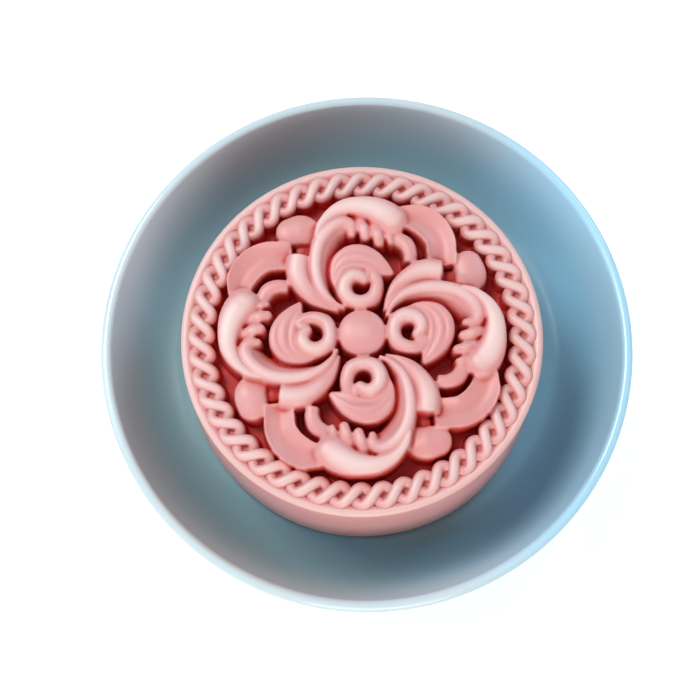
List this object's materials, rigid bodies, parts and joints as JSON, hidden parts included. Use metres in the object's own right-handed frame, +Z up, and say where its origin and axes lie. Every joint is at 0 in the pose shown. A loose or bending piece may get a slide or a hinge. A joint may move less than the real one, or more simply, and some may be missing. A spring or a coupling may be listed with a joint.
{
  "type": "mooncake press",
  "caption": "Hand-plunger press that moulds and stamps round mooncakes, with return spring and twist-off stamp, beside one pressed cake on a shallow dish.",
  "frame": {"origin": "centre of the barrel's mouth, on the table", "axes": "+Z up along the plunger, -X from the press towards the dish"},
  "size_m": [0.3002, 0.1542, 0.1643],
  "materials": {
    "barrel_plastic": "smooth moulded, slightly glossy",
    "bush_plastic": "satin",
    "spring_steel": "bright drawn wire",
    "seat_steel": "stamped, satin",
    "rod_plastic": "smooth moulded",
    "knob_plastic": "smooth moulded, slightly glossy",
    "cap_plastic": "smooth moulded",
    "screw_steel": "zinc plated",
    "piston_plastic": "satin",
    "stamp_plastic": "satin, food grade",
    "dish_glaze": "high gloss glaze",
    "cake_skin": "soft satin, slightly waxy",
    "cake_filling": "dense paste",
    "cake_yolk": "oily, grainy"
  },
  "bodies": {
    "barrel": {"barrel": "barrel_plastic", "guide_bush": "bush_plastic", "lower_spring_seat": "seat_steel", "return_spring": "spring_steel"},
    "plunger": {"plunger_rod": "rod_plastic", "knob": "knob_plastic", "knob_washer": "seat_steel", "knob_screw": "screw_steel", "knob_cap": "cap_plastic", "upper_spring_seat": "seat_steel", "piston": "piston_plastic", "piston_washer": "seat_steel", "piston_screw": "screw_steel"},
    "stamp": {"stamp_plate": "stamp_plastic"},
    "dish": {"dish": "dish_glaze"},
    "cake": {"cake_skin": "cake_skin", "cake_filling": "cake_filling", "cake_yolk": "cake_yolk"}
  },
  "joints": [
    {"name": "plunger_slide", "type": "slide", "parent": "barrel", "child": "plunger", "axis": [0, 0, -1], "range_m": [0, 0.038], "stiffness_N_per_m": 420, "springref_m": -0.014, "deforming": ["return_spring"]},
    {"name": "stamp_twist", "type": "hinge", "parent": "plunger", "child": "stamp", "pos_m": [0, 0, 0.054], "axis": [0, 0, 1], "range_deg": [0, 22]},
    {"name": "dish_lift", "type": "slide", "parent": "barrel", "child": "dish", "axis": [0, 0, 1], "range_m": [0, 0.12]},
    {"name": "cake_lift", "type": "slide", "parent": "dish", "child": "cake", "axis": [0, 0, 1], "range_m": [0, 0.08]}
  ]
}
